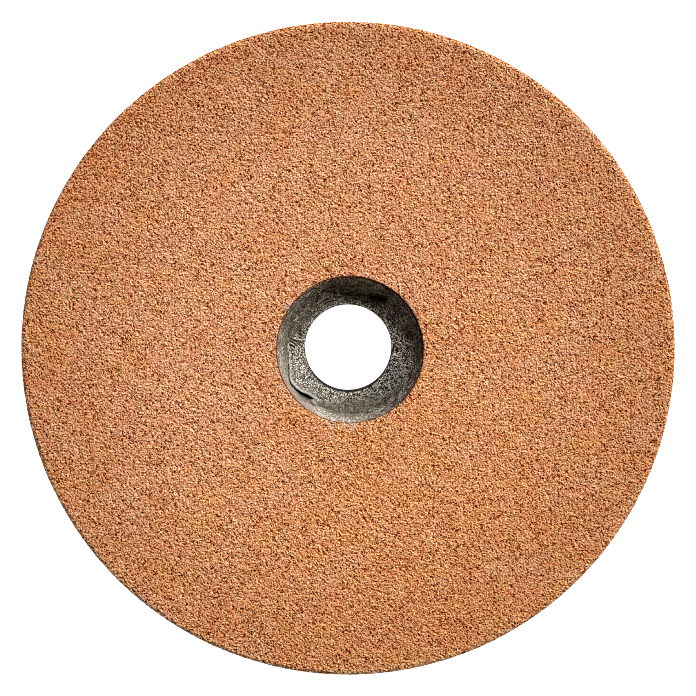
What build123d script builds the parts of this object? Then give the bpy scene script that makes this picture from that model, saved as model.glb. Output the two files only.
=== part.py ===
from build123d import *
import os

# ---------------------------------------------------------------------------
# Straight bench-grinder wheel, 150 x 20 mm with a 20 mm bore.
# The wheel lies on its side: +Z is the bore axis, the origin is the centre
# of the wheel, and the two flat sides are at z = +10 and z = -10.
# All lengths are in millimetres.
# ---------------------------------------------------------------------------

# abrasive body
wheel_diameter = 150.0
wheel_width = 20.0
rim_round = 1.0            # worn, rounded corner between side and periphery
core_diameter = 33.7       # hole in the abrasive that the bushing is cast in
core_edge_break = 0.25     # crumbled corner of that hole

# cast bushing
bore_diameter = 20.0
rim_recess = 0.4           # the bushing's rim lies this far under the side
rim_lip = 0.12             # narrow flat ring where the bushing meets the wheel
lip_round_r = 0.28         # radial run of the rounding inside the lip
lip_round_z = 0.36         # its drop
dish_depth = 5.4           # depth of the concave dish under the bushing's rim
land_ring = 0.4            # narrow floor of the dish round the bore
floor_rise = 0.06          # the floor rises this much away from the bore
dish_sag = 0.58            # how far the dish wall bows away from a straight cone

wheel_radius = wheel_diameter / 2
half_width = wheel_width / 2
core_radius = core_diameter / 2
bore_radius = bore_diameter / 2

rim_z = half_width - rim_recess
land_z = rim_z - dish_depth          # the bore's wall runs from -land_z to land_z

os.makedirs("parts", exist_ok=True)

# ---------------------------------------------------------------------------
# Abrasive body: bonded grain, one flat disc with a plain round hole.
# The section is drawn on the XZ plane and turned about Z.
# ---------------------------------------------------------------------------
with BuildPart() as abrasive_wheel:
    with BuildSketch(Plane.XZ) as body_section:
        with Locations(((core_radius + wheel_radius) / 2, 0)):
            Rectangle(wheel_radius - core_radius, wheel_width)
        rim_corners = body_section.vertices().filter_by(lambda v: v.X > wheel_radius - 0.01)
        fillet(rim_corners, radius=rim_round)
        hole_corners = body_section.vertices().filter_by(lambda v: v.X < core_radius + 0.01)
        chamfer(hole_corners, length=core_edge_break)
    revolve(axis=Axis.Z)
abrasive_wheel.part.label = "abrasive_wheel"

# ---------------------------------------------------------------------------
# Bushing: cast in the core hole, dished the same way on both sides, with a
# straight cylindrical bore between the two dishes.
# ---------------------------------------------------------------------------
lip_inner = core_radius - rim_lip
wall_top = (lip_inner - lip_round_r, rim_z - lip_round_z)
wall_foot = (bore_radius + land_ring, land_z + floor_rise)

# the dish wall is an arc through a point pushed out of the straight cone
chord = Vector(wall_top[0] - wall_foot[0], wall_top[1] - wall_foot[1])
outward = Vector(chord.Y, -chord.X).normalized()
wall_mid = (
    (wall_top[0] + wall_foot[0]) / 2 + outward.X * dish_sag,
    (wall_top[1] + wall_foot[1]) / 2 + outward.Y * dish_sag,
)
lip_mid = (
    wall_top[0] + lip_round_r * 0.42,
    wall_top[1] + lip_round_z * 0.68,
)


def upper(point):
    return (point[0], point[1])


def lower(point):
    return (point[0], -point[1])


with BuildPart() as bushing:
    with BuildSketch(Plane.XZ) as bushing_section:
        with BuildLine() as bushing_outline:
            Line(lower((core_radius, rim_z)), upper((core_radius, rim_z)))
            Line(upper((core_radius, rim_z)), upper((lip_inner, rim_z)))
            ThreePointArc(upper((lip_inner, rim_z)), upper(lip_mid), upper(wall_top))
            ThreePointArc(upper(wall_top), upper(wall_mid), upper(wall_foot))
            Line(upper(wall_foot), upper((bore_radius, land_z)))
            Line(upper((bore_radius, land_z)), lower((bore_radius, land_z)))
            Line(lower((bore_radius, land_z)), lower(wall_foot))
            ThreePointArc(lower(wall_foot), lower(wall_mid), lower(wall_top))
            ThreePointArc(lower(wall_top), lower(lip_mid), lower((lip_inner, rim_z)))
            Line(lower((lip_inner, rim_z)), lower((core_radius, rim_z)))
        make_face()
    revolve(axis=Axis.Z)
bushing.part.label = "bushing"

export_step(abrasive_wheel.part, "parts/abrasive_wheel.step")
export_step(bushing.part, "parts/bushing.step")
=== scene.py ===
import math

import bpy
import numpy as np
from mathutils import Matrix, Vector


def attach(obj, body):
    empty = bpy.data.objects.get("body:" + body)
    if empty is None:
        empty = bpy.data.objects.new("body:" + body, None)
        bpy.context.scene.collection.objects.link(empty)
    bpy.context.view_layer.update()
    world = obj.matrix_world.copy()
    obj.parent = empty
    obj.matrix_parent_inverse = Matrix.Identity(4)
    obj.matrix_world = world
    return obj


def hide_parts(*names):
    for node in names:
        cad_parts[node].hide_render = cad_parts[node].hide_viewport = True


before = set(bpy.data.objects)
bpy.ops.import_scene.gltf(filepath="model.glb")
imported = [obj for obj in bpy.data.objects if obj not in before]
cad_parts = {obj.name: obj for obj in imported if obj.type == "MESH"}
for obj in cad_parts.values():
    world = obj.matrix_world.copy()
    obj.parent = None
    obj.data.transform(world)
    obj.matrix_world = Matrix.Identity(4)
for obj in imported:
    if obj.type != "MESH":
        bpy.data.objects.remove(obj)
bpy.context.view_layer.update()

# ---------------------------------------------------------------------------
# Sizes in millimetres, the same as the frame's.
# ---------------------------------------------------------------------------
WHEEL_R = 75.0
HALF = 10.0
RIM_ROUND = 1.0
CORE_R = 16.85
CORE_BREAK = 0.25
BORE_R = 10.0
RIM_Z = 9.6
LAND_Z = 4.2
# The core hole was moulded a little off the wheel's axis, and the cast
# bushing takes that up: its bore is true to the outside of the wheel.
CORE_OFF = np.array([0.33, -0.27])

rng = np.random.default_rng(20240611)


# ---------------------------------------------------------------------------
# Seeded gradient noise on numpy arrays, about -1..1
# ---------------------------------------------------------------------------
def noise(p, size, seed):
    q = np.asarray(p, float) / size + 137.31 + seed * 17.77
    i = np.floor(q).astype(np.int64)
    f = q - i
    w = f * f * f * (f * (f * 6 - 15) + 10)
    total = 0.0
    for dx in (0, 1):
        for dy in (0, 1):
            for dz in (0, 1):
                c = i + np.array([dx, dy, dz])
                h = (c[:, 0] * 73856093) ^ (c[:, 1] * 19349663) ^ (c[:, 2] * 83492791) ^ (seed * 2654435761 % 4294967291)
                h = (h ^ (h >> 13)) * 1274126177 & 0x7FFFFFFF
                h = (h ^ (h >> 16)) & 0xFFFF
                a = h * (2 * math.pi / 65536.0)
                h2 = (h * 40503) & 0xFFFF
                cz = h2 / 32768.0 - 1.0
                s = np.sqrt(np.maximum(0.0, 1 - cz * cz))
                d = f - np.array([dx, dy, dz])
                g = d[:, 0] * s * np.cos(a) + d[:, 1] * s * np.sin(a) + d[:, 2] * cz
                wx = w[:, 0] if dx else 1 - w[:, 0]
                wy = w[:, 1] if dy else 1 - w[:, 1]
                wz = w[:, 2] if dz else 1 - w[:, 2]
                total = total + g * wx * wy * wz
    return total * 1.6


def smoothstep(a, b, x):
    t = np.clip((x - a) / (b - a), 0, 1)
    return t * t * (3 - 2 * t)


# ---------------------------------------------------------------------------
# A closed body of revolution, as rings of points joined into triangles.
# Each ring has its own count, so the facets keep one size all over.
# ---------------------------------------------------------------------------
class Path:
    """A section: points (r, z) with outward normals, by length along it."""

    def __init__(self):
        self.p, self.n, self.s = [], [], []

    def line(self, a, b, steps=2):
        d = np.subtract(b, a) / np.hypot(*np.subtract(b, a))
        for t in np.linspace(0, 1, steps):
            self._add(np.add(a, np.subtract(b, a) * t), (-d[1], d[0]))
        return self

    def arc(self, c, r, a0, a1, steps=24, inward=False):
        k = -1.0 if inward else 1.0
        for a in np.radians(np.linspace(a0, a1, steps)):
            u = np.array([math.cos(a), math.sin(a)])
            self._add(np.add(c, u * r), u * k)
        return self

    def _add(self, p, n):
        p = np.asarray(p, float)
        s = 0.0 if not self.p else self.s[-1] + float(np.hypot(*(p - self.p[-1])))
        if self.p and s - self.s[-1] < 1e-9:
            s = self.s[-1] + 1e-7
        self.p.append(p)
        self.n.append(np.asarray(n, float))
        self.s.append(s)

    @property
    def length(self):
        return self.s[-1]

    def at(self, s):
        p, n = np.array(self.p), np.array(self.n)
        r, z = np.interp(s, self.s, p[:, 0]), np.interp(s, self.s, p[:, 1])
        nr, nz = np.interp(s, self.s, n[:, 0]), np.interp(s, self.s, n[:, 1])
        m = np.hypot(nr, nz)
        return r, z, nr / m, nz / m


def rings_to_body(path, rings, jitter_a, jitter_s, seed):
    """rings: (s, count, jitter) in order along the closed section. Returns theta, s, ring of each point and the triangles with each corner's own s."""
    r = np.random.default_rng(seed)
    theta, spos, start = [], [], [0]
    nominal = []
    for k, (s, count, loose) in enumerate(rings):
        base = (np.arange(count) + (0.5 if k % 2 else 0.0)) / count * 2 * math.pi
        step = 2 * math.pi / count
        nominal.append(base)
        theta.append(base + r.uniform(-jitter_a, jitter_a, count) * step * (1 if loose else 0))
        spos.append(s + r.uniform(-1, 1, count) * jitter_s * loose)
        start.append(start[-1] + count)
    tri, tri_s, tri_ring = [], [], []
    all_s = np.concatenate(spos)
    for k in range(len(rings)):
        j = (k + 1) % len(rings)
        na, nb = rings[k][1], rings[j][1]
        ea = np.append(nominal[k][1:], nominal[k][0] + 2 * math.pi)
        eb = np.append(nominal[j][1:], nominal[j][0] + 2 * math.pi)
        ends = np.concatenate([ea, eb])
        kind = np.concatenate([np.zeros(na, int), np.ones(nb, int)])
        order = np.argsort(ends, kind="stable")
        kind = kind[order]
        ia = np.cumsum(kind == 0) - (kind == 0)
        ib = np.cumsum(kind == 1) - (kind == 1)
        a0, b0 = start[k] + ia % na, start[j] + ib % nb
        a1, b1 = start[k] + (ia + 1) % na, start[j] + (ib + 1) % nb
        is_a = kind == 0
        t = np.stack([a0, np.where(is_a, a1, b1), b0], 1)
        tri.append(t)
        sa = all_s[t]
        if j == 0:
            in_b = t < start[1]
            sa = np.where(in_b, path.length, sa)
        tri_s.append(sa)
        tri_ring.append(np.full(len(t), k))
    return (
        np.concatenate(theta),
        all_s,
        np.concatenate([np.full(c[1], k) for k, c in enumerate(rings)]),
        np.concatenate(tri),
        np.concatenate(tri_s),
        np.concatenate(tri_ring),
    )


def make_mesh(name, verts_mm, tris, uv, smooth, attributes):
    mesh = bpy.data.meshes.new(name)
    v = np.asarray(verts_mm, np.float64) * 0.001
    a, b, c = v[tris[:, 0]], v[tris[:, 1]], v[tris[:, 2]]
    volume = np.einsum("ij,ij->i", a, np.cross(b, c)).sum() / 6
    if volume < 0:
        tris = tris[:, ::-1]
        uv = uv[:, ::-1]
    mesh.vertices.add(len(v))
    mesh.vertices.foreach_set("co", v.astype(np.float32).ravel())
    mesh.loops.add(len(tris) * 3)
    mesh.loops.foreach_set("vertex_index", tris.astype(np.int32).ravel())
    mesh.polygons.add(len(tris))
    mesh.polygons.foreach_set("loop_start", np.arange(0, len(tris) * 3, 3, dtype=np.int32))
    mesh.update(calc_edges=True)
    mesh.polygons.foreach_set("use_smooth", np.full(len(tris), smooth))
    layer = mesh.uv_layers.new(name="OFBake")
    layer.data.foreach_set("uv", uv.astype(np.float32).ravel())
    for key, (domain, values) in attributes.items():
        at = mesh.attributes.new(key, "FLOAT", domain)
        at.data.foreach_set("value", np.asarray(values, np.float32))
    mesh.validate()
    obj = bpy.data.objects.new(name, mesh)
    bpy.context.scene.collection.objects.link(obj)
    return obj


def disc_uv(rho, theta, top, far):
    """Two discs side by side on the map's diagonal, one for each side of the wheel."""
    k = 0.2895 / far
    cx = np.where(top, 0.2929, 0.7071)
    u = cx + rho * k * np.cos(theta)
    v = cx + rho * k * np.sin(theta)
    return np.stack([u, v], -1)


# Things that change round the bushing, as (angle in degrees, value).
# How far out the coarse, granular part of the casting reaches, in mm
COARSE = [
    (0, 15.2), (20, 15.4), (38, 15.2), (48, 13.6), (56, 12.4), (66, 11.8), (80, 11.3), (100, 11.0),
    (130, 10.9), (150, 11.3), (160, 12.2), (168, 13.2), (177, 13.85), (186, 13.95), (196.6, 14.44),
    (206.3, 15.33), (210, 15.5), (216, 15.22), (222, 14.8), (228, 14.2), (233, 14.1), (240, 13.95),
    (252, 13.6), (258, 12.7), (262, 12.2), (268, 12.8), (276, 12.2), (285, 12.5), (300, 13.0),
    (318, 14.2), (340, 14.9),
]
# how wide the crevice at its lower left is, in mm
CREVICE = [(0, 0), (192, 0), (197, 0.12), (206, 0.22), (212, 0.28), (217, 0.38), (222, 0.58), (228, 0.76), (231, 0.60), (234, 0), (360, 0)]
# how dark the joint with the wheel is painted, as shade at the foot of the step and in part a dark line of its own,
# and how much compound the grains took up
JOINT_SHADE = [(0, 1.0), (60, 0.62), (100, 0.50), (150, 0.62), (175, 0.60), (215, 0.65), (240, 0.35), (270, 0.2), (295, 0.3), (320, 0.8), (340, 1.0)]
# paleness of the band along the wheel's rounded edge, by angle: in part painted light
RIM_LIGHT_AND_TONE = [(0, 0.32), (45, 0.5), (90, 0.68), (135, 0.29), (180, -0.13), (225, 0.4), (270, 0.75), (315, 0.4)]
SMEAR = [(0, 0.15), (60, 0.2), (105, 0.7), (140, 0.7), (180, 0.4), (240, 0.5), (270, 0.8), (295, 0.6), (330, 0.2)]


def by_angle(theta, table):
    a = np.degrees(theta) % 360
    xs = [x for x, _ in table]
    ys = [y for _, y in table]
    return np.interp(a, [xs[-1] - 360] + xs + [360.0 + xs[0]], [ys[-1]] + ys + [ys[0]])


def toward_angle(theta, centre, half):
    """1 at an angle, falling to 0 about twice half away from it."""
    d = np.abs((np.degrees(theta) - centre + 180) % 360 - 180)
    return np.exp(-0.7 * (d / half) ** 2)


def stroke(x, y, centre, heading, length, width):
    """1 along the middle of a short straight mark, 0 away from it."""
    c, s = math.cos(math.radians(heading)), math.sin(math.radians(heading))
    u = (x - centre[0]) * c + (y - centre[1]) * s
    v = -(x - centre[0]) * s + (y - centre[1]) * c
    return smoothstep(length / 2 + width, length / 2 - width, np.abs(u)) * np.exp(-(v / width) ** 2)


# ---------------------------------------------------------------------------
# The abrasive body
# ---------------------------------------------------------------------------
def build_wheel():
    brk, rnd = CORE_BREAK, RIM_ROUND
    path = Path()
    path.line((CORE_R, 0), (CORE_R, HALF - brk))
    path.line((CORE_R, HALF - brk), (CORE_R + brk, HALF))
    path.line((CORE_R + brk, HALF), (WHEEL_R - rnd, HALF))
    path.arc((WHEEL_R - rnd, HALF - rnd), rnd, 90, 0)
    path.line((WHEEL_R, HALF - rnd), (WHEEL_R, -HALF + rnd))
    path.arc((WHEEL_R - rnd, -HALF + rnd), rnd, 0, -90)
    path.line((WHEEL_R - rnd, -HALF), (CORE_R + brk, -HALF))
    path.line((CORE_R + brk, -HALF), (CORE_R, -HALF + brk))
    path.line((CORE_R, -HALF + brk), (CORE_R, 0))
    total = path.length
    s_wall = HALF - brk
    s_face = s_wall + brk * math.sqrt(2)
    s_round = s_face + (WHEEL_R - rnd - CORE_R - brk)
    s_side = s_round + rnd * math.pi / 2
    s_mid = total / 2

    def count(s, d):
        return max(24, int(round(2 * math.pi * float(path.at(s)[0]) / d)))

    def span(a, b, d):
        n = max(1, int(round((b - a) / (d * 0.866))))
        return [a + (b - a) * (i + 1) / n for i in range(n)]

    half_rings = [(0.0, 150, 0.0), (s_wall - 0.9, count(s_wall, 0.6), 0.0)]
    half_rings += [(s_wall, count(s_wall, 0.42), 0.3)]
    half_rings += [(s_wall + brk * 0.7, count(s_wall, 0.42), 0.5)]
    half_rings += [(s_face, count(s_face, 0.45), 0.5)]
    return path, total, s_wall, s_face, s_round, s_side, s_mid, count, span, half_rings


def finish_wheel():
    path, total, s_wall, s_face, s_round, s_side, s_mid, count, span, first = build_wheel()
    d_top, d_edge, d_side, d_back_edge, d_under = 0.60, 0.43, 0.78, 0.54, 1.25
    rings = list(first)
    rings += [(s, count(s, d_top), 1.0) for s in span(s_face, s_round - 1.1, d_top)]
    rings += [(s, count(s, d_edge), 1.0) for s in span(s_round - 1.1, s_side + 0.7, d_edge)]
    rings += [(s, count(s, d_side), 1.0) for s in span(s_side + 0.7, s_mid, d_side)]
    mid_ring = len(rings) - 1
    rings += [(s, count(s, d_side), 1.0) for s in span(s_mid, total - s_side - 0.7, d_side)]
    rings += [(s, count(s, d_back_edge), 1.0) for s in span(total - s_side - 0.7, total - s_round + 1.1, d_back_edge)]
    rings += [(s, count(s, d_under), 1.0) for s in span(total - s_round + 1.1, total - s_face - 1.0, d_under)]
    back = [(total - s, n, loose) for s, n, loose in reversed(first[1:])]
    rings += back
    theta, s, ring, tris, tri_s, tri_ring = rings_to_body(path, rings, 0.30, 0.16, 11)
    r, z, nr, nz = path.at(s)
    flat = np.stack([r * np.cos(theta), r * np.sin(theta), z], 1)

    # Relief: the tops of the grains lie near one surface, trued in making,
    # and the pores and lost grains go down from it.
    n = len(s)
    u = rng.random(n)
    loose = np.array([rings[k][2] for k in ring])
    relief = -0.16 * u ** 1.5
    lost = rng.random(n) < 0.055
    relief[lost] -= rng.uniform(0.10, 0.30, lost.sum())
    proud = rng.random(n) < 0.03
    relief[proud] += rng.uniform(0.02, 0.07, proud.sum())
    wave = noise(flat, 9.0, 3) * 0.02
    at_edge = (np.abs(s - (s_round + s_side) / 2) < 1.2) | (np.abs(total - s - (s_round + s_side) / 2) < 1.2)
    crumbled = at_edge & (rng.random(n) < 0.07)
    relief[crumbled] -= rng.uniform(0.05, 0.30, crumbled.sum())
    height = (relief + wave + 0.06) * loose
    height = np.where(nz < -0.5, np.minimum(height, 0.0), height)
    rr = r + nr * height
    zz = z + nz * height
    pull = 1 - smoothstep(20.0, 34.0, r)
    x = rr * np.cos(theta) + CORE_OFF[0] * pull
    y = rr * np.sin(theta) + CORE_OFF[1] * pull
    verts = np.stack([x, y, zz], 1)

    top = tri_ring < mid_ring
    side_s = np.where(top[:, None], tri_s, total - tri_s)
    rho = (CORE_R + CORE_BREAK) + (side_s - s_face)
    far = (CORE_R + CORE_BREAK) + (s_mid - s_face) + 0.3
    ang = theta[tris]
    uv = disc_uv(rho, ang, top[:, None], far)
    facet = rng.random(len(tris))

    # a dark line where the casting ends, painted as the shade at the foot of the
    # step and in part a dark line of its own, darkest at the right; and grains
    # beside it that took up some of the casting compound
    out = np.minimum(s, total - s)
    blotch = noise(flat, 1.7, 51) + 0.6 * noise(flat, 0.8, 52)
    wide = 0.10 + 0.30 * toward_angle(theta, 355, 30)
    joint_shade = smoothstep(0.22 + wide, 0.0, out - s_wall + 0.34 * noise(flat, 0.9, 53)) * by_angle(theta, JOINT_SHADE)
    smear = smoothstep(2.0, 0.2, out - s_face) * by_angle(theta, SMEAR) * smoothstep(-0.05, 0.75, blotch)
    # the band along the rounded edge is paler or darker by angle, in part painted
    # light and in part the edge's own tone; on the rounding itself, painted fill
    # light where it turns away from the key light and painted shade where it
    # faces it; and darker near the edge at the top left
    rim_light_and_tone = smoothstep(s_round - 0.9, s_round + 0.2, out) * by_angle(theta, RIM_LIGHT_AND_TONE)
    rounded = smoothstep(s_round + 0.15, s_round + 0.8, out) * smoothstep(s_side + 1.2, s_side + 0.2, out)
    rim_light_and_tone = rim_light_and_tone + rounded * (1.1 * toward_angle(theta, 238, 48) - 0.65 * toward_angle(theta, 50, 52))
    rim_light_and_tone = rim_light_and_tone - 0.25 * smoothstep(66.0, 72.5, r) * toward_angle(theta, 122, 38) * (verts[:, 2] > 0)
    # a deeper orange towards the bottom of the picture, greyer at its left
    burnt = np.zeros(len(verts))
    for (bx, by), spread, strength in (((14, -44), 30, 0.55), ((-32, -9), 20, -0.30), ((-4, 62), 26, -0.16), ((52, 40), 18, -0.14)):
        burnt += strength * np.exp(-((verts[:, 0] - bx) ** 2 + (verts[:, 1] - by) ** 2) / (2.0 * spread ** 2))
    return make_mesh(
        "grinding_wheel_body",
        verts,
        tris,
        uv,
        False,
        {"facet": ("FACE", facet), "joint_shade": ("POINT", joint_shade), "smear": ("POINT", smear), "rim_light_and_tone": ("POINT", rim_light_and_tone), "burnt": ("POINT", burnt)},
    )


# ---------------------------------------------------------------------------
# The cast bushing
# ---------------------------------------------------------------------------
def build_bushing():
    path = Path()
    # the dish wall's arc, through the same points as in the frame
    top, foot = np.array([16.45, 9.24]), np.array([10.4, 4.26])
    chord = top - foot
    out = np.array([chord[1], -chord[0]]) / np.hypot(*chord)
    sag = 0.58
    half = np.hypot(*chord) / 2
    rad = (half * half + sag * sag) / (2 * sag)
    centre = (top + foot) / 2 - out * (rad - sag)
    a_top = math.degrees(math.atan2(*(top - centre)[::-1]))
    a_foot = math.degrees(math.atan2(*(foot - centre)[::-1]))
    path.line((BORE_R, 0), (BORE_R, LAND_Z - 0.13))
    s_land = path.length
    path.line((BORE_R, LAND_Z - 0.13), (BORE_R + 0.13, LAND_Z))
    path.line((BORE_R + 0.13, LAND_Z), foot)
    path.arc(centre, rad, a_foot, a_top, 40, inward=True)
    lip = [top, np.array([16.5676, 9.4848]), np.array([16.73, 9.6])]
    path.line(lip[0], lip[1])
    path.line(lip[1], lip[2])
    path.line(lip[2], (CORE_R - 0.05, RIM_Z))
    s_rim = path.length
    path.line((CORE_R - 0.05, RIM_Z), (CORE_R - 0.05, RIM_Z - 0.5))
    s_out = path.length
    path.line((CORE_R - 0.05, RIM_Z - 0.5), (CORE_R - 0.01, 0))
    half_len = path.length
    for p, n in list(zip(path.p, path.n))[::-1]:
        path._add((p[0], -p[1]), (n[0], -n[1]))
    total = path.length

    def count(s, d):
        return max(24, int(round(2 * math.pi * float(path.at(s)[0]) / d)))

    def span(a, b, d):
        n = max(1, int(round((b - a) / (d * 0.866))))
        return [a + (b - a) * (i + 1) / n for i in range(n)]

    fine, mid, rough = 0.128, 0.30, 0.34
    rings = [(0.0, count(0, mid), 0.0)]
    rings += [(s, count(s, mid), 0.5) for s in span(0, s_land - 0.5, mid)]
    rings += [(s, count(s, fine), 0.7) for s in span(s_land - 0.5, s_rim, fine)]
    rings += [(s, count(s, 0.4), 0.0) for s in (s_out, half_len * 0.75 + s_out * 0.25)]
    rings += [(half_len, 110, 0.0)]
    mid_ring = len(rings) - 1
    rings += [(s, count(s, 0.5), 0.0) for s in (total - s_out,)]
    rings += [(s, count(s, rough), 0.7) for s in span(total - s_rim - 0.01, total - s_land + 0.5, rough)]
    rings += [(s, count(s, 0.4), 0.5) for s in span(total - s_land + 0.5, total, 0.4)[:-1]]
    theta, s, ring, tris, tri_s, tri_ring = rings_to_body(path, rings, 0.25, 0.03, 23)
    r, z, nr, nz = path.at(s)
    loose = np.array([rings[k][2] for k in ring])
    fx, fy = r * np.cos(theta), r * np.sin(theta)
    flat = np.stack([fx, fy, z], 1)
    upper = s <= half_len
    on_dish = ((s > s_land - 0.3) & (s < s_rim)) | ((s > total - s_rim) & (s < total - s_land + 0.3))
    in_bore = (s <= s_land + 1e-6) | (s >= total - s_land - 1e-6)
    a = np.degrees(theta) % 360

    # the coarse part of the casting: its border is crisp at the lower left
    # and fades out elsewhere
    crisp = smoothstep(168, 182, a) * smoothstep(246, 238, a)
    wob = noise(flat, 1.3, 31) * 0.45 + noise(flat, 0.5, 32) * 0.22
    wob = wob * (1 - 0.8 * crisp)
    edge = np.where(upper, by_angle(theta, COARSE), 11.8 + noise(flat, 5.0, 33) * 1.2)
    width = 1.5 - 1.2 * crisp
    d_edge = r + wob - edge
    coarse = smoothstep(width * 0.35, -width * 0.65, d_edge) * on_dish
    body = np.where(upper, smoothstep(0.10, -0.9, r + wob * 0.4 - edge), 0) * on_dish

    # lower left it stands off the smooth wall, with an open crevice between that
    # is painted dark as shade
    edge_r = by_angle(theta, COARSE)
    gap = by_angle(theta, CREVICE) * upper
    ragged = noise(flat, 0.8, 41) * 0.06
    across = (r + ragged - edge_r) / np.maximum(gap, 1e-3)
    crevice = np.where((gap > 0.04) & (across > -0.12) & (across < 1.15),
                       smoothstep(-0.12, 0.10, across) * smoothstep(1.15, 0.70, across), 0)
    beyond = np.clip(r - edge_r - gap, 0, None)
    # painted shadow of the coarse part's raised edge on the smooth wall beyond the crevice
    penumbra_shade = np.exp(-beyond / 0.45) * (r > edge_r + gap * 0.5) * smoothstep(0.25, 0.6, gap) * 0.75
    proud = smoothstep(192, 206, a) * smoothstep(246, 234, a) * upper
    brow = proud * np.exp(-((r - edge_r + 0.34) / 0.30) ** 2)
    lift = body * (0.08 + 0.20 * proud) * smoothstep(10.0, 12.5, r) + brow * 0.22

    # a pit under the coarse part's upper right edge, and marks left by hand
    # at the left: ridges and the grooves between them
    wx, wy = fx + 0.5 * noise(flat, 1.3, 61), fy + 0.30 * noise(flat, 0.9, 62)
    hollow = np.maximum.reduce([
        stroke(wx, wy, (6.5, 11.45), -8, 5.2, 1.25), 0.60 * stroke(wx, wy, (1.6, 12.2), -1, 6.4, 0.80),
        0.45 * stroke(wx, wy, (-11.2, 3.9), 62, 1.6, 0.75), 0.62 * stroke(wx, wy, (11.1, 8.8), -46, 3.6, 0.90), 0.50 * stroke(wx, wy, (13.6, 3.7), -72, 3.4, 0.80),
    ]) * upper
    ridge = 0.0
    for at, heading, reach, wide in (
        ((-13.05, 1.05), -34, 1.25, 0.17), ((-11.35, 1.95), -14, 1.1, 0.16), ((-13.98, 0.25), -89, 1.8, 0.13), ((-13.75, -2.6), -92, 3.6, 0.09),
        ((-12.45, 2.15), -28, 1.1, 0.12),
        ((-6.45, -11.05), -38, 1.3, 0.11), ((-5.70, -11.65), -36, 1.4, 0.11), ((-5.05, -11.15), -30, 1.1, 0.10),
        ((-12.10, 1.15), -30, 1.0, 0.14), ((-12.25, 6.90), 38, 1.5, 0.09), ((-8.10, -12.15), -42, 1.3, 0.10),
    ):
        ridge = np.maximum(ridge, stroke(fx, fy, at, heading, reach, wide))
    groove = 0.0
    for at, heading, reach, wide in (
        ((-12.90, 1.45), -30, 1.5, 0.16), ((-12.15, 1.72), -27, 2.4, 0.15), ((-13.20, 0.70), -27, 1.4, 0.15),
        ((-11.60, 0.92), -34, 0.9, 0.14), ((-13.25, -0.45), -14, 1.1, 0.10), ((-10.95, 3.0), -50, 1.0, 0.30),
        ((-6.15, -11.45), -38, 1.2, 0.12), ((-5.35, -11.45), -33, 1.2, 0.11), ((-11.45, -0.35), 0, 0.3, 0.16), ((-8.55, -12.45), -40, 1.5, 0.09),
    ):
        groove = np.maximum(groove, stroke(fx, fy, at, heading, reach, wide))
    ridge, groove = ridge * upper * on_dish, groove * upper * on_dish

    grit = np.abs(noise(flat, 0.50, 35)) * 0.6 + noise(flat, 0.34, 36) * 0.6
    h = coarse * (1 - 0.7 * brow) * (grit * 0.17 + noise(flat, 1.5, 37) * 0.12)
    drawn = np.stack([np.cos(theta) * 6.0, np.sin(theta) * 6.0, r * 2.2], 1)
    h += (1 - coarse) * on_dish * (noise(flat, 0.40, 38) * 0.045 + noise(flat, 2.6, 39) * 0.05 + noise(drawn, 1.0, 44) * 0.035)
    h += ridge * 0.24 - groove * 0.30 - hollow * 0.45
    h += in_bore * (noise(flat, 0.6, 40) * 0.015)
    h = np.where(in_bore, np.minimum(h, 0.0), h) * (loose > 0)
    taper = smoothstep(BORE_R, BORE_R + 0.4, r) * smoothstep(CORE_R - 0.04, CORE_R - 0.35, r)
    h = np.where(on_dish, h * np.maximum(taper, 0.0), h)
    rr = r + nr * h
    zz = z + nz * h + lift - crevice * 1.3
    # grains of it hang over the bore's edge at the lower left
    ledge = smoothstep(0.6, 0.0, np.abs(s - s_land)) * smoothstep(160, 178, a) * smoothstep(232, 216, a)
    rr = rr - ledge * np.maximum(noise(flat, 0.55, 43), 0) * 0.22
    pull = smoothstep(10.9, 16.2, r)
    x = rr * np.cos(theta) + CORE_OFF[0] * pull
    y = rr * np.sin(theta) + CORE_OFF[1] * pull
    verts = np.stack([x, y, zz], 1)

    # painted shade: near black in the crevice, beyond it, in the hollows and in
    # the grooves, and dark along the joint with the wheel
    seam_shade = smoothstep(16.52, 16.74, r + 0.10 * noise(flat, 0.6, 45)) * np.minimum(by_angle(theta, JOINT_SHADE) * 1.1, 1.0) * upper
    recess_shade = np.clip(np.maximum.reduce([crevice, penumbra_shade, hollow * 1.05, groove * 1.1]), 0, 1)
    warm = smoothstep(15.9, 16.7, r) * upper
    even = smoothstep(115, 165, a) * smoothstep(335, 290, a) * (1 + 1.2 * proud * smoothstep(2.2, 0.6, edge_r - r))
    # where the darks are painted blacker, as shade away from the key light
    harsh = toward_angle(theta, 35, 70)
    fleck = np.maximum(toward_angle(theta, 60, 58), 0.5 * toward_angle(theta, 150, 26)) * smoothstep(10.8, 12.2, r) * smoothstep(15.6, 14.6, r)

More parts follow.
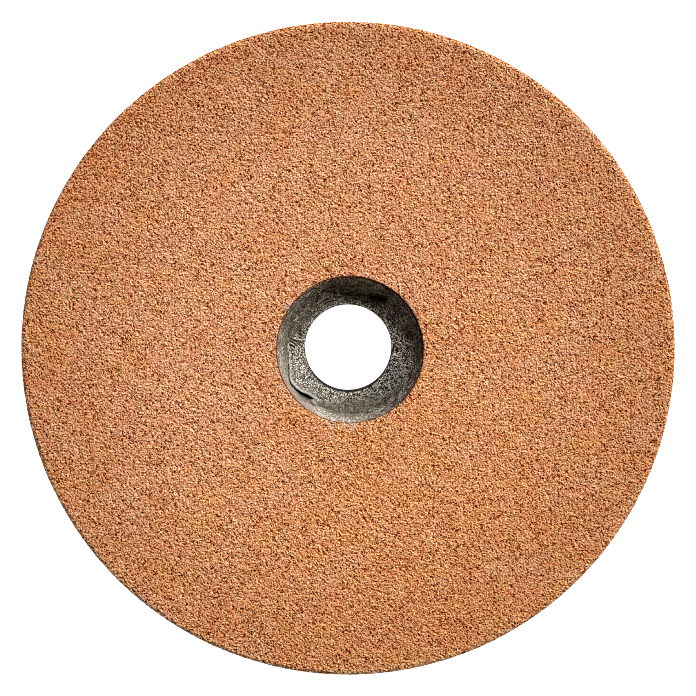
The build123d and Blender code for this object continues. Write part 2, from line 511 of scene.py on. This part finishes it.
    # where it is paler: along the lip, most at the bottom, as a painted highlight
    # where the lip faces the key light; at the bore's edge and in the lower left
    # quarter; and at the upper right, painted light that lifts the side in shade.
    # It is darker at the right and the top
    lip_w = smoothstep(14.4, 16.1, r)
    bore_w = smoothstep(11.5, 10.3, r)
    between = (1 - lip_w) * (1 - bore_w)
    tone = 0.58 * between * (1 + 0.58 * toward_angle(theta, 207, 24) - 0.32 * toward_angle(theta, 322, 30) - 0.22 * toward_angle(theta, 125, 26) + 1.05 * toward_angle(theta, 46, 36) - 0.14 * toward_angle(theta, 352, 26))
    tone += bore_w * (0.80 - 0.25 * toward_angle(theta, 110, 30) - 0.15 * toward_angle(theta, 320, 35) + 0.90 * toward_angle(theta, 54, 16) + 0.40 * toward_angle(theta, 32, 16) - 0.10 * toward_angle(theta, 352, 26))
    tone += lip_w * (0.80 + 1.05 * toward_angle(theta, 252, 32) + 0.75 * toward_angle(theta, 190, 32) + 0.65 * toward_angle(theta, 88, 24) - 0.28 * toward_angle(theta, 328, 26))
    tone = np.where(upper, tone, 0.75)
    # the wall of the bore, and its edge at the bottom where that lies in shade,
    # painted near black as shade
    bore_wall_shade = np.maximum(in_bore * 1.0, smoothstep(s_land + 0.36, s_land + 0.20, s) * smoothstep(208, 222, a) * smoothstep(334, 306, a))
    grey = np.clip(lip_w * 0.8 + proud * 0.3, 0, 1) * (1 - toward_angle(theta, 70, 50))
    # browner at the upper right, in the shade: painted warm light thrown back from the wheel
    bounce_brown = np.clip(1.2 * toward_angle(theta, 55, 60) * (0.4 + 0.6 * smoothstep(11.5, 13.5, r)), 0, 1)

    top_side = tri_ring < mid_ring
    side_s = np.where(top_side[:, None], tri_s, total - tri_s)
    rho = 6.0 + np.minimum(side_s, s_rim) + np.maximum(side_s - s_rim, 0) * 0.2
    far = 6.0 + s_rim + (half_len - s_rim) * 0.2 + 0.1
    uv = disc_uv(rho, theta[tris], top_side[:, None], far)
    return make_mesh(
        "cast_bushing",
        verts,
        tris,
        uv,
        True,
        {
            "coarse": ("POINT", coarse),
            "recess_shade": ("POINT", recess_shade),
            "mark": ("POINT", np.maximum(ridge, brow * 0.60)),
            "tone": ("POINT", tone),
            "bore_wall_shade": ("POINT", bore_wall_shade),
            "grey": ("POINT", grey),
            "bounce_brown": ("POINT", bounce_brown),
            "seam_shade": ("POINT", seam_shade),
            "warm": ("POINT", warm),
            "even": ("POINT", even),
            "fleck": ("POINT", fleck),
            "harsh": ("POINT", harsh),
        },
    )


# ---------------------------------------------------------------------------
# Materials
# ---------------------------------------------------------------------------
class Nodes:
    """A short way to write a shader's node tree."""

    def __init__(self, material):
        material.use_nodes = True
        self.t = material.node_tree
        self.t.nodes.clear()

    def add(self, kind, inputs=None, **props):
        n = self.t.nodes.new(kind)
        for k, v in props.items():
            setattr(n, k, v)
        for k, v in (inputs or {}).items():
            self.set(n.inputs[k], v)
        return n

    def set(self, socket, v):
        if isinstance(v, bpy.types.NodeSocket):
            self.t.links.new(v, socket)
        else:
            socket.default_value = v

    def math(self, op, a, b=None, clamp=False):
        n = self.t.nodes.new("ShaderNodeMath")
        n.operation = op
        n.use_clamp = clamp
        self.set(n.inputs[0], a)
        if b is not None:
            self.set(n.inputs[1], b)
        return n.outputs[0]

    def mul_add(self, a, b, c):
        n = self.t.nodes.new("ShaderNodeMath")
        n.operation = "MULTIPLY_ADD"
        for i, v in enumerate((a, b, c)):
            self.set(n.inputs[i], v)
        return n.outputs[0]

    def remap(self, v, a, b, c=0.0, d=1.0, smooth=False):
        n = self.t.nodes.new("ShaderNodeMapRange")
        n.interpolation_type = "SMOOTHSTEP" if smooth else "LINEAR"
        n.clamp = True
        for k, x in (("Value", v), ("From Min", a), ("From Max", b), ("To Min", c), ("To Max", d)):
            self.set(n.inputs[k], x)
        return n.outputs["Result"]

    def ramp(self, v, stops, interpolation="LINEAR"):
        n = self.t.nodes.new("ShaderNodeValToRGB")
        self.set(n.inputs["Fac"], v)
        cr = n.color_ramp
        cr.interpolation = interpolation
        while len(cr.elements) > 1:
            cr.elements.remove(cr.elements[-1])
        cr.elements[0].position = stops[0][0]
        cr.elements[0].color = (*stops[0][1], 1)
        for pos, col in stops[1:]:
            e = cr.elements.new(pos)
            e.color = (*col, 1)
        return n.outputs["Color"]

    def mix(self, fac, a, b, blend="MIX"):
        n = self.t.nodes.new("ShaderNodeMix")
        n.data_type = "RGBA"
        n.blend_type = blend
        n.clamp_factor = True
        self.set(n.inputs["Factor"], fac)
        self.set(n.inputs[6], a)
        self.set(n.inputs[7], b)
        return n.outputs[2]

    def voronoi(self, vec, scale, feature="F1", **inputs):
        n = self.add("ShaderNodeTexVoronoi", feature=feature)
        self.set(n.inputs["Vector"], vec)
        self.set(n.inputs["Scale"], scale)
        for k, v in inputs.items():
            self.set(n.inputs[k], v)
        return n

    def noise(self, vec, scale, detail=2.0, rough=0.5):
        n = self.add("ShaderNodeTexNoise")
        self.set(n.inputs["Vector"], vec)
        self.set(n.inputs["Scale"], scale)
        self.set(n.inputs["Detail"], detail)
        self.set(n.inputs["Roughness"], rough)
        return n


def mm_coords(g, offset=(0, 0, 0)):
    c = g.add("ShaderNodeTexCoord")
    m = g.add("ShaderNodeMapping")
    g.set(m.inputs["Vector"], c.outputs["Object"])
    m.inputs["Scale"].default_value = (1000, 1000, 1000)
    m.inputs["Location"].default_value = offset
    return m.outputs["Vector"]


# Grain sizes (in each millimetre), and how much each layer adds to the tone
# and, in millimetres, to the relief.
GRAIN, CHIP, SHARD, ROUGH = 2.5, 3.6, 2.4, 1.2
PIT_LO, PIT_HI, PIT_SHADE = 0.31, 0.41, 0.6
HOLE, HOLE_R, HOLE_RARE, T_HOLE_SHADE = 1.15, 0.19, 0.60, -0.8
NICK, NICK_R, NICK_RARE, T_NICK_SHADOW = 2.0, 0.34, 0.66, 0.9
FLECK, T_FLECK = 0.84, 0.22
T_MID = 0.50
LONG, THIN = 0.55, 1.25
PATCH = 3.1
STEP, T_SLOPE_LIGHT, H_SHARD = 0.25, 0.7, 0.10
T_BASE, T_CELL, T_CHIP, T_SHARD, T_FACET, T_RIM_LIGHT_AND_TONE = 0.285, 0.20, 0.10, 0.36, 0.12, 0.16
H_PIT, H_HOLE, H_NICK, H_ROUGH = 0.14, 0.18, 0.08, 0.10


def abrasive_material():
    mat = bpy.data.materials.new("bonded_abrasive")
    g = Nodes(mat)
    p = mm_coords(g)

    # distance from the axis: the outside is darker and redder, in part the
    # wheel's own colour and in part a painted falloff of the light
    sep = g.add("ShaderNodeSeparateXYZ", {"Vector": p})
    r2 = g.math("ADD", g.math("MULTIPLY", sep.outputs["X"], sep.outputs["X"]), g.math("MULTIPLY", sep.outputs["Y"], sep.outputs["Y"]))
    radius = g.math("SQRT", r2)
    outer = g.remap(radius, 34.0, 74.0, smooth=True)

    # grains about half a millimetre across, each with a tone of its own,
    # splinters between them, and the pores darker: in part the bond's own
    # colour, in part painted shade
    turned = g.add("ShaderNodeMapping", {"Vector": p})
    turned.inputs["Rotation"].default_value = (0.0, 0.0, math.radians(45))
    drawn = g.add("ShaderNodeMapping", {"Vector": turned.outputs["Vector"]})
    drawn.inputs["Scale"].default_value = (LONG, THIN, 1.0)
    grain = g.voronoi(p, GRAIN)
    chips = g.noise(p, CHIP, 0.6, 0.5)
    shards = g.noise(p, SHARD, 1.0, 0.5)
    # splinters stand up: painted relief light, the slope of each towards the key
    # light painted paler and the far slope darker
    ahead = g.add("ShaderNodeMapping", {"Vector": p})
    ahead.inputs["Location"].default_value = (0.6 * STEP, 0.8 * STEP, 0.0)
    painted_slope_light = g.math("SUBTRACT", shards.outputs["Fac"], g.noise(ahead.outputs["Vector"], SHARD, 1.0, 0.5).outputs["Fac"])
    tones = g.add("ShaderNodeSeparateColor", {"Color": grain.outputs["Color"]})
    facet = g.add("ShaderNodeAttribute", attribute_name="facet").outputs["Fac"]
    chip = g.remap(chips.outputs["Fac"], 0.30, 0.70)
    shard = g.remap(shards.outputs["Fac"], 0.30, 0.70)

    t = g.mul_add(tones.outputs[0], T_CELL, T_BASE)
    t = g.mul_add(chip, T_CHIP, t)
    t = g.mul_add(shard, T_SHARD, t)
    # painted light and shade on the splinters' slopes
    t = g.mul_add(painted_slope_light, T_SLOPE_LIGHT, t)
    t = g.mul_add(facet, T_FACET, t)
    # painted light and shade along the rounded edge, with some tone of its own
    t = g.mul_add(g.add("ShaderNodeAttribute", attribute_name="rim_light_and_tone").outputs["Fac"], T_RIM_LIGHT_AND_TONE, t)
    pit = g.remap(chips.outputs["Fac"], PIT_LO, PIT_HI, smooth=True)
    # the pores painted darker, in part as shade
    t = g.mul_add(g.math("SUBTRACT", pit, 1.0), PIT_SHADE, t)
    # here and there a whole grain is missing, its socket painted dark as shade
    warp = g.add("ShaderNodeVectorMath", operation="SCALE")
    g.set(warp.inputs[0], g.noise(p, 1.7, 1.0).outputs["Color"])
    warp.inputs["Scale"].default_value = 0.45
    warped = g.add("ShaderNodeVectorMath", operation="ADD")
    g.set(warped.inputs[0], p)
    g.set(warped.inputs[1], warp.outputs[0])
    socket = g.voronoi(warped.outputs[0], HOLE)
    pick = g.add("ShaderNodeSeparateColor", {"Color": socket.outputs["Color"]})
    hole = g.math("MULTIPLY", g.remap(socket.outputs["Distance"], HOLE_R * HOLE * 1.25, HOLE_R * HOLE * 0.70, smooth=True), g.remap(pick.outputs[0], HOLE_RARE, HOLE_RARE + 0.02))
    # painted shade in the empty sockets
    t = g.mul_add(hole, T_HOLE_SHADE, t)
    # and small nicks painted dark, as shadows drawn out across the key light's
    # direction, and pale flecks
    nicks = g.voronoi(drawn.outputs["Vector"], NICK)
    which = g.add("ShaderNodeSeparateColor", {"Color": nicks.outputs["Color"]})
    nick = g.math("MULTIPLY", g.remap(nicks.outputs["Distance"], NICK_R * 1.3, NICK_R * 0.7, smooth=True), g.remap(which.outputs[0], NICK_RARE, NICK_RARE + 0.1))
    # painted shadow in the nicks
    t = g.mul_add(nick, -T_NICK_SHADOW, t)
    fleck = g.math("MULTIPLY", g.remap(which.outputs[1], FLECK, FLECK + 0.05), g.remap(nicks.outputs["Distance"], 0.42, 0.28))
    t = g.mul_add(fleck, T_FLECK, t)
    # the grain stands out a little more towards the outside
    t = g.mul_add(g.math("SUBTRACT", t, T_MID), g.mul_add(outer, 0.25, 0.94), T_MID)
    colour = g.ramp(t, [
        (0.051, (0.1500, 0.0060, 0.0000)),
        (0.151, (0.2360, 0.0270, 0.0000)),
        (0.251, (0.3050, 0.0560, 0.0000)),
        (0.351, (0.3740, 0.0980, 0.0050)),
        (0.451, (0.4600, 0.1530, 0.0360)),
        (0.551, (0.5560, 0.2176, 0.0840)),
        (0.651, (0.6801, 0.2994, 0.1418)),
        (0.751, (0.8074, 0.3967, 0.2120)),
        (0.851, (0.9397, 0.5102, 0.2991)),
        (0.951, (0.9644, 0.6448, 0.4072)),
    ])

    # faint patches, some a deeper orange and some greyer
    patch = g.noise(p, 0.11, 3.0, 0.60).outputs["Fac"]
    burnt = g.mul_add(patch, PATCH, 0.42 - 0.5 * PATCH)
    burnt = g.math("ADD", burnt, g.add("ShaderNodeAttribute", attribute_name="burnt").outputs["Fac"])
    burnt = g.remap(burnt, 0.0, 1.0)
    c = g.mix(1.0, colour, (0.974, 1.028, 1.11, 1), "MULTIPLY")
    deeper = g.mix(1.0, colour, (0.984, 0.945, 0.79, 1), "MULTIPLY")
    c = g.mix(burnt, c, deeper)
    tint = g.remap(g.noise(p, 0.24, 2.0, 0.6).outputs["Fac"], 0.36, 0.64)
    redder = g.mix(1.0, c, (1.020, 0.955, 1.0, 1), "MULTIPLY")
    c = g.mix(1.0, c, (0.983, 1.037, 1.0, 1), "MULTIPLY")
    c = g.mix(tint, c, redder)
    # darker and redder towards the outside: in part a painted falloff of the light
    c = g.mix(outer, c, (0.790, 0.703, 0.622, 1), "MULTIPLY")
    smear = g.add("ShaderNodeAttribute", attribute_name="smear").outputs["Fac"]
    joint_shade = g.add("ShaderNodeAttribute", attribute_name="joint_shade").outputs["Fac"]
    pale = g.ramp(t, [(0.10, (0.090, 0.030, 0.022)), (0.45, (0.420, 0.270, 0.220)), (0.85, (0.880, 0.740, 0.660))])
    c = g.mix(g.math("MULTIPLY", smear, 0.85, clamp=True), c, pale)
    # painted shade along the joint with the casting
    c = g.mix(joint_shade, c, (0.058, 0.011, 0.007, 1))

    # relief finer than the facets
    lump = g.mul_add(shards.outputs["Fac"], H_SHARD, 0.0)
    lump = g.mul_add(pit, H_PIT, lump)
    lump = g.mul_add(hole, -H_HOLE, lump)
    lump = g.mul_add(nick, -H_NICK, lump)
    lump = g.mul_add(g.noise(p, ROUGH, 2.2, 0.55).outputs["Fac"], H_ROUGH, lump)
    bump = g.add("ShaderNodeBump", {"Strength": 1.0, "Distance": 0.001, "Height": lump})
    rough = g.remap(tones.outputs[1], 0.0, 1.0, 0.50, 0.82)
    bsdf = g.add("ShaderNodeBsdfPrincipled", {"Base Color": c, "Roughness": rough, "Normal": bump.outputs["Normal"]})
    bsdf.inputs["Specular IOR Level"].default_value = 0.0
    out = g.add("ShaderNodeOutputMaterial")
    g.set(out.inputs["Surface"], bsdf.outputs["BSDF"])
    return mat


SAND = 5.0
U_MEAN, U_EVEN, T_MEAN, T_EVEN, HARSH = 0.50, 0.30, 0.54, 0.30, 1.10


def bushing_material():
    mat = bpy.data.materials.new("cast_bushing_compound")
    g = Nodes(mat)
    p = mm_coords(g, (3.0, 5.0, 1.0))
    names = ("coarse", "recess_shade", "mark", "tone", "bore_wall_shade", "grey", "bounce_brown", "seam_shade", "warm", "even", "fleck", "harsh")
    coarse, recess_shade, mark, tone, bore_wall_shade, grey, bounce_brown, seam_shade, warm, even, fleck, harsh = [g.add("ShaderNodeAttribute", attribute_name=n).outputs["Fac"] for n in names]

    # grains of sand a quarter of a millimetre across, each with a tone of its
    # own, in clusters, and a fine streak round the axis where it is smooth
    sand = g.voronoi(p, SAND)
    own = g.add("ShaderNodeSeparateColor", {"Color": sand.outputs["Color"]})
    cluster = g.noise(p, 1.3, 2.0, 0.6).outputs["Fac"]
    fine = g.noise(p, 3.2, 1.5, 0.6).outputs["Fac"]
    dust = g.noise(p, 3.6, 0.6, 0.5).outputs["Fac"]
    axis = mm_coords(g)
    sep = g.add("ShaderNodeSeparateXYZ", {"Vector": axis})
    radius = g.math("SQRT", g.math("ADD", g.math("MULTIPLY", sep.outputs["X"], sep.outputs["X"]), g.math("MULTIPLY", sep.outputs["Y"], sep.outputs["Y"])))
    along = g.add("ShaderNodeCombineXYZ", {
        "X": g.math("MULTIPLY", g.math("DIVIDE", sep.outputs["X"], radius), 7.0),
        "Y": g.math("MULTIPLY", g.math("DIVIDE", sep.outputs["Y"], radius), 7.0),
        "Z": g.math("MULTIPLY", radius, 2.4),
    })
    streak = g.noise(along.outputs[0], 1.0, 2.0, 0.6).outputs["Fac"]

    t = g.mul_add(own.outputs[0], 0.56, 0.0)
    t = g.mul_add(g.remap(cluster, 0.30, 0.70), 0.20, t)
    t = g.mul_add(g.remap(dust, 0.30, 0.70), 0.24, t)
    u = g.mul_add(own.outputs[1], 0.44, 0.0)
    u = g.mul_add(g.remap(streak, 0.30, 0.70), 0.34, u)
    u = g.mul_add(g.remap(fine, 0.30, 0.70), 0.22, u)
    # where the mould was smooth, its skin is smoother too
    u = g.add("ShaderNodeMix", {"Factor": g.math("MULTIPLY", even, U_EVEN), 2: u, 3: U_MEAN}, data_type="FLOAT").outputs[0]
    t = g.add("ShaderNodeMix", {"Factor": g.math("MULTIPLY", even, T_EVEN), 2: t, 3: T_MEAN}, data_type="FLOAT").outputs[0]
    # and at the right, away from the light, its darks are painted blacker as
    # shade, with paler specks
    gain = g.mul_add(harsh, HARSH, 1.0)
    u = g.mul_add(g.math("SUBTRACT", u, U_MEAN), gain, U_MEAN)
    t = g.mul_add(g.math("SUBTRACT", t, U_MEAN), g.math("ADD", gain, 0.25), U_MEAN)
    smooth_c = g.ramp(u, [
        (0.20, (0.016, 0.010, 0.003)),
        (0.40, (0.098, 0.083, 0.052)),
        (0.56, (0.190, 0.170, 0.128)),
        (0.70, (0.360, 0.338, 0.282)),
        (0.82, (0.700, 0.680, 0.610)),
    ])
    rough_c = g.ramp(t, [
        (0.26, (0.006, 0.003, 0.0)),
        (0.38, (0.050, 0.038, 0.016)),
        (0.52, (0.165, 0.144, 0.097)),
        (0.64, (0.440, 0.410, 0.335)),
        (0.76, (0.980, 0.960, 0.900)),
    ])
    c = g.mix(coarse, smooth_c, rough_c)
    # specks of white filler
    few = g.mul_add(fleck, -0.050, 0.955)
    speck = g.math("MULTIPLY", g.remap(own.outputs[2], few, g.math("ADD", few, 0.01)), g.remap(sand.outputs["Distance"], 0.50, 0.36))
    # tone by angle: in part a painted highlight and painted light
    c = g.mix(1.0, c, g.add("ShaderNodeCombineColor", {0: tone, 1: tone, 2: tone}).outputs[0], "MULTIPLY")
    c = g.mix(g.math("MULTIPLY", speck, g.mul_add(fleck, 0.5, 0.4), clamp=True), c, (0.980, 0.960, 0.890, 1))
    c = g.mix(grey, c, (0.99, 0.98, 1.14, 1), "MULTIPLY")
    # painted warm bounce light at the upper right
    c = g.mix(bounce_brown, c, (1.16, 0.96, 0.76, 1), "MULTIPLY")
    c = g.mix(g.math("MULTIPLY", mark, 0.85, clamp=True), c, (0.640, 0.610, 0.530, 1))
    c = g.mix(warm, c, (1.14, 0.93, 0.84, 1), "MULTIPLY")
    # painted shade in the crevice, the hollows and the grooves
    c = g.mix(recess_shade, c, (0.007, 0.004, 0.002, 1))
    # painted shade along the joint with the wheel
    c = g.mix(seam_shade, c, (0.062, 0.014, 0.008, 1))
    # painted shade on the bore's wall and its lower edge
    c = g.mix(bore_wall_shade, c, (0.012, 0.0105, 0.009, 1))

    height = g.mul_add(fine, 0.16, 0.0)
    height = g.mul_add(dust, 0.08, height)
    height = g.mul_add(g.math("MULTIPLY", own.outputs[2], coarse), 0.07, height)
    bump = g.add("ShaderNodeBump", {"Strength": 1.0, "Distance": 0.001, "Height": height})
    rough = g.math("MAXIMUM", g.remap(fine, 0.3, 0.7, 0.55, 0.78), bore_wall_shade)
    bsdf = g.add("ShaderNodeBsdfPrincipled", {"Base Color": c, "Roughness": rough, "Normal": bump.outputs["Normal"]})
    bsdf.inputs["Specular IOR Level"].default_value = 0.04
    out = g.add("ShaderNodeOutputMaterial")
    g.set(out.inputs["Surface"], bsdf.outputs["BSDF"])
    return mat


wheel = finish_wheel()
wheel.data.materials.append(abrasive_material())
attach(wheel, "root")
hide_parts("abrasive_wheel")

bushing = build_bushing()
bushing.data.materials.append(bushing_material())
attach(bushing, "root")
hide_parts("bushing")


# ---------------------------------------------------------------------------
# Stage: pale floor, backdrop, light, camera
# ---------------------------------------------------------------------------
def pale_floor():
    """White, and lit from under the bore, as a light table is."""
    m = bpy.data.materials.new("pale_floor")
    g = Nodes(m)
    b = g.add("ShaderNodeBsdfPrincipled")
    b.inputs["Base Color"].default_value = (0.82, 0.82, 0.82, 1)
    b.inputs["Roughness"].default_value = 0.9
    b.inputs["Specular IOR Level"].default_value = 0.0
    b.inputs["Emission Color"].default_value = (1, 1, 1, 1)
    sep = g.add("ShaderNodeSeparateXYZ", {"Vector": mm_coords(g)})
    r2 = g.math("ADD", g.math("MULTIPLY", sep.outputs["X"], sep.outputs["X"]), g.math("MULTIPLY", sep.outputs["Y"], sep.outputs["Y"]))
    radius = g.math("SQRT", r2)
    under = g.remap(radius, 14.0, 40.0, 1.0, 0.95, smooth=True)
    g.set(b.inputs["Emission Strength"], g.math("MULTIPLY", under, g.remap(radius, 104.0, 140.0, 1.0, 0.12, smooth=True)))
    out = g.add("ShaderNodeOutputMaterial")
    g.set(out.inputs["Surface"], b.outputs["BSDF"])
    return m


def white_backdrop():
    m = bpy.data.materials.new("white_backdrop")
    g = Nodes(m)
    e = g.add("ShaderNodeEmission", {"Color": (1, 1, 1, 1), "Strength": 1.0})
    out = g.add("ShaderNodeOutputMaterial")
    g.set(out.inputs["Surface"], e.outputs["Emission"])
    return m


def stage_mesh(name, verts, faces):
    m = bpy.data.meshes.new(name)
    m.from_pydata(verts, [], faces)
    o = bpy.data.objects.new(name, m)
    bpy.context.scene.collection.objects.link(o)
    return o


FLOOR = 12.0
floor_z = -HALF * 0.001
floor = stage_mesh("floor", [(-FLOOR, -FLOOR, floor_z), (FLOOR, -FLOOR, floor_z), (FLOOR, FLOOR, floor_z), (-FLOOR, FLOOR, floor_z)], [(0, 1, 2, 3)])
floor.data.materials.append(pale_floor())

# a ring of backdrop round the floor, which only the camera sees
ring_n, ring_r = 64, 11.0
ring_v = [(ring_r * math.cos(2 * math.pi * k / ring_n), ring_r * math.sin(2 * math.pi * k / ring_n), h) for h in (floor_z, 8.0) for k in range(ring_n)]
ring_f = [(k, (k + 1) % ring_n, ring_n + (k + 1) % ring_n, ring_n + k) for k in range(ring_n)]
backdrop = stage_mesh("backdrop", ring_v, ring_f)
backdrop.data.materials.append(white_backdrop())
backdrop.visible_diffuse = False
backdrop.visible_glossy = False
backdrop.visible_transmission = False
backdrop.visible_shadow = False

scene = bpy.context.scene
world = bpy.data.worlds.new("studio")
scene.world = world
world.use_nodes = True
bg = world.node_tree.nodes.get("Background") or world.node_tree.nodes.new("ShaderNodeBackground")
bg.inputs["Color"].default_value = (1.0, 1.0, 1.0, 1)
bg.inputs["Strength"].default_value = 0.09

KEY_AZ, KEY_EL = math.radians(53), math.radians(37)
key_data = bpy.data.lights.new("key", "SUN")
key_data.energy = 5.6
key_data.angle = math.radians(11)
key_data.color = (1.0, 0.985, 0.96)
key = bpy.data.objects.new("key", key_data)
toward = Vector((math.cos(KEY_EL) * math.cos(KEY_AZ), math.cos(KEY_EL) * math.sin(KEY_AZ), math.sin(KEY_EL)))
key.rotation_mode = "QUATERNION"
key.rotation_quaternion = toward.to_track_quat("Z", "Y")
key.location = toward * 2
scene.collection.objects.link(key)

# The photograph looks along the bore, from a long way off and 2.3 degrees
# from the side that is up in the picture.
TILT, DIST = math.radians(2.3), 1.4
back = Vector((0, math.sin(TILT), math.cos(TILT)))
right = Vector((1, 0, 0))
up = back.cross(right)
cam_data = bpy.data.cameras.new("camera")
cam_data.sensor_width = 36.0
cam_data.lens = 18.0 * (DIST + 0.001) / (348.0 / 326.7 * 0.075)
cam_data.clip_start, cam_data.clip_end = 0.05, 40.0
cam = bpy.data.objects.new("camera", cam_data)
place = Vector((-0.00003, 0.0, 0.010)) + back * DIST + up * 0.00022
cam.matrix_world = Matrix((
    (right.x, up.x, back.x, place.x),
    (right.y, up.y, back.y, place.y),
    (right.z, up.z, back.z, place.z),
    (0, 0, 0, 1),
))
scene.collection.objects.link(cam)
scene.camera = cam

# nearly point sampled, and the texture is kept when the noise is taken out
scene.cycles.filter_width = 0.9
scene.cycles.denoising_prefilter = "NONE"
scene.view_settings.view_transform = "Standard"
scene.view_settings.look = "None"
scene.view_settings.exposure = 0.0
scene.view_settings.gamma = 1.0

bpy.context.view_layer.update()
